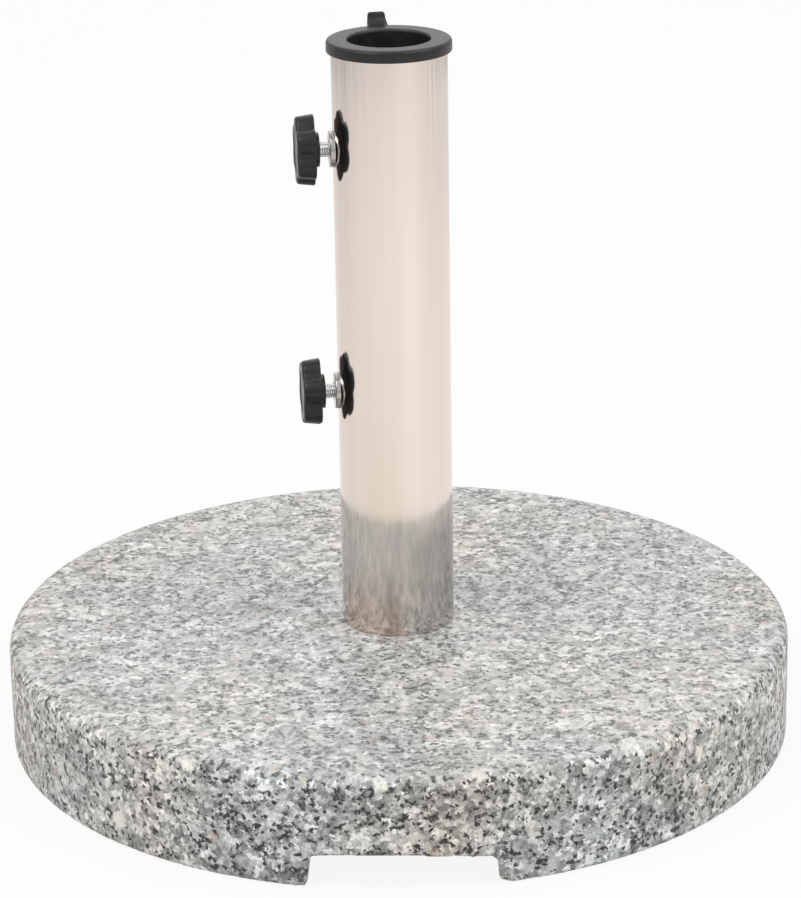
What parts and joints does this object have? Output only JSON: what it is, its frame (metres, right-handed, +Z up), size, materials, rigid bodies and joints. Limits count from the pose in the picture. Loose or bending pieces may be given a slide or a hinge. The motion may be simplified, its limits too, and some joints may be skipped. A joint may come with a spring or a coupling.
{
  "type": "parasol base",
  "caption": "Round granite parasol base with an upright steel tube, a pole collar and star knobs that clamp the pole.",
  "frame": {"origin": "centre of the slab's underside, on the ground, on the tube's axis", "axes": "+Z up along the tube, Y along the channel under the slab with -Y the front, and the clamping knobs on the -X side"},
  "size_m": [0.42, 0.42, 0.3839],
  "materials": {
    "granite": "honed grey granite with dark, white and pink grains",
    "polished_steel": "polished stainless steel, mirror-like",
    "raw_steel": "plain rolled steel",
    "weld": "rippled weld bead",
    "zinc": "bright zinc plated",
    "nickel": "bright nickel plated",
    "collar_plastic": "satin black moulded plastic",
    "knob_plastic": "fine-textured black moulded plastic",
    "pad_plastic": "natural nylon"
  },
  "bodies": {
    "base": {"granite_base": "granite", "support_tube": "polished_steel", "foot_plate": "raw_steel", "foot_weld": "weld", "foot_nut": "zinc", "base_bolt": "zinc", "wide_washer": "zinc", "spring_washer": "zinc", "upper_insert": "nickel", "lower_insert": "nickel"},
    "collar": {"top_collar": "collar_plastic"},
    "upper_pad": {"upper_pad": "pad_plastic"},
    "upper_knob": {"upper_stud": "zinc", "upper_grip": "knob_plastic"},
    "lower_pad": {"lower_pad": "pad_plastic"},
    "lower_knob": {"lower_stud": "zinc", "lower_grip": "knob_plastic"}
  },
  "joints": [
    {"name": "collar_lift", "type": "slide", "parent": "base", "child": "collar", "axis": [0, 0, 1], "range_m": [0, 0.05]},
    {"name": "upper_screw_travel", "type": "slide", "parent": "base", "child": "upper_pad", "axis": [-0.9945, -0.1045, 0], "range_m": [-0.005, 0.00375]},
    {"name": "upper_screw_turn", "type": "hinge", "parent": "upper_pad", "child": "upper_knob", "pos_m": [0, 0, 0.321], "axis": [-0.9945, -0.1045, 0], "range_deg": [-1440, 1080]},
    {"name": "lower_screw_travel", "type": "slide", "parent": "base", "child": "lower_pad", "axis": [-0.9945, -0.1045, 0], "range_m": [-0.005, 0.00375]},
    {"name": "lower_screw_turn", "type": "hinge", "parent": "lower_pad", "child": "lower_knob", "pos_m": [0, 0, 0.19], "axis": [-0.9945, -0.1045, 0], "range_deg": [-1440, 1080]}
  ],
  "couplings": [
    {"joint": "upper_screw_turn", "follows": "upper_screw_travel", "rad_per_m": 5026.5},
    {"joint": "lower_screw_turn", "follows": "lower_screw_travel", "rad_per_m": 5026.5}
  ]
}
